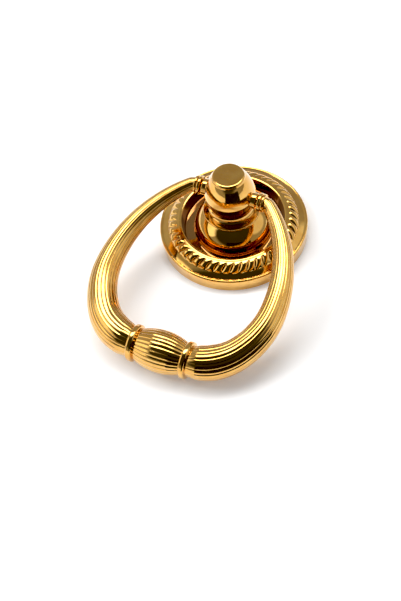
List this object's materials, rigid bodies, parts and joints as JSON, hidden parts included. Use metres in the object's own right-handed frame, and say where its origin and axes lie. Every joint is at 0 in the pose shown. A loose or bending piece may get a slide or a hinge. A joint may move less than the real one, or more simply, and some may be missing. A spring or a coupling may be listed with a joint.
{
  "type": "ring pull handle",
  "caption": "Ring pull handle: a round rosette backplate with a rope border, a turned post and a tapering reeded ring with a ribbed barrel that swings on the post to open a drawer or door.",
  "frame": {"origin": "centre of the backplate's back face, at the mouth of the screw hole", "axes": "+Z out of the mounting surface along the post, -Y towards the hanging ring, X along the ring's pivot"},
  "size_m": [0.056, 0.0749, 0.0245],
  "materials": {
    "polished_gold": "polished, gold plated"
  },
  "bodies": {
    "base": {"backplate": "polished_gold", "post": "polished_gold"},
    "ring": {"ring": "polished_gold"}
  },
  "joints": [
    {"name": "ring_swing", "type": "hinge", "parent": "base", "child": "ring", "pos_m": [0, 0, 0.0166], "axis": [-1, 0, 0], "range_deg": [0, 205]}
  ]
}
